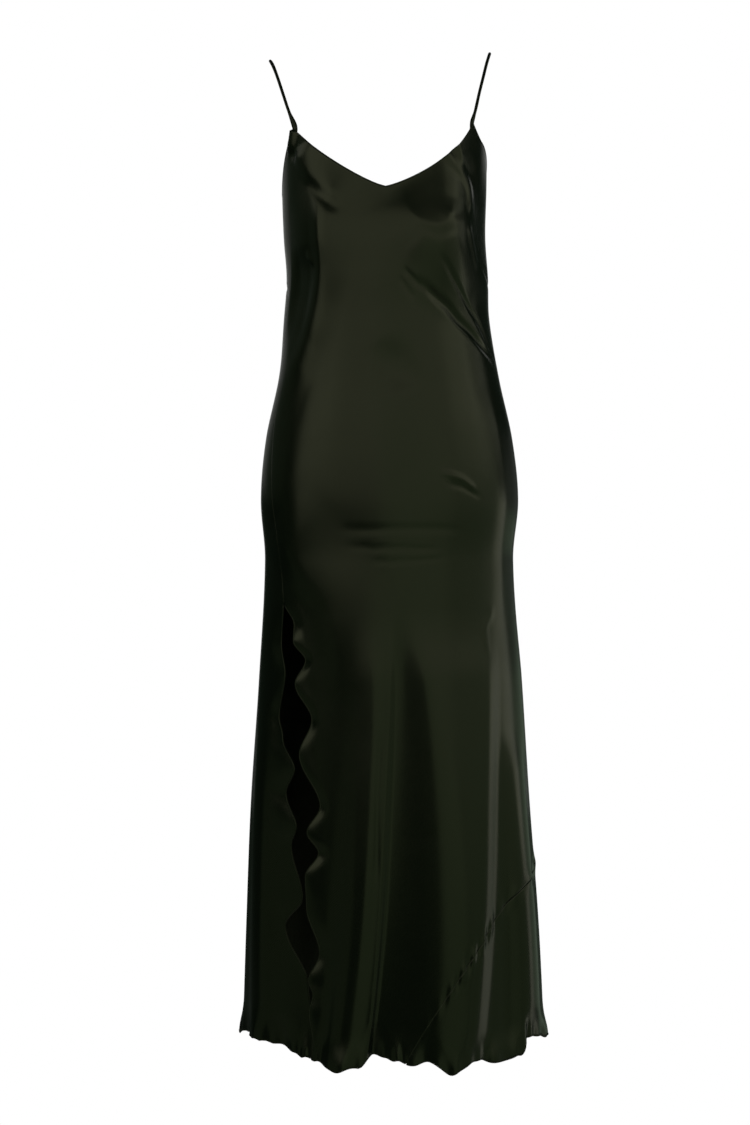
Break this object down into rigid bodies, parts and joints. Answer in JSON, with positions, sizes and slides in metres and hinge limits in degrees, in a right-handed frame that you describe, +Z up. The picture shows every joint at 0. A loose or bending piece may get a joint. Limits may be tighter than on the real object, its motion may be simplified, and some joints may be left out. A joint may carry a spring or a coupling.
{
  "type": "slip dress",
  "caption": "Long bias-cut satin slip dress with thin rouleau straps, a V neck, a curled hem and a curled front slit, hollow as worn.",
  "frame": {"origin": "at shoulder height between the tops of the straps, where the wearer holds the dress up", "axes": "+Z up along the dress, -Y out of its front, +X to the wearer's left"},
  "size_m": [0.4193, 0.3071, 1.3494],
  "materials": {
    "front": "black satin with a soft sheen",
    "front_corner": "black satin with a soft sheen",
    "back": "black satin with a soft sheen",
    "right_strap": "black satin with a soft sheen",
    "left_strap": "black satin with a soft sheen"
  },
  "bodies": {
    "root": {"front": "front", "front_corner": "front_corner", "back": "back", "right_strap": "right_strap", "left_strap": "left_strap"}
  },
  "joints": []
}
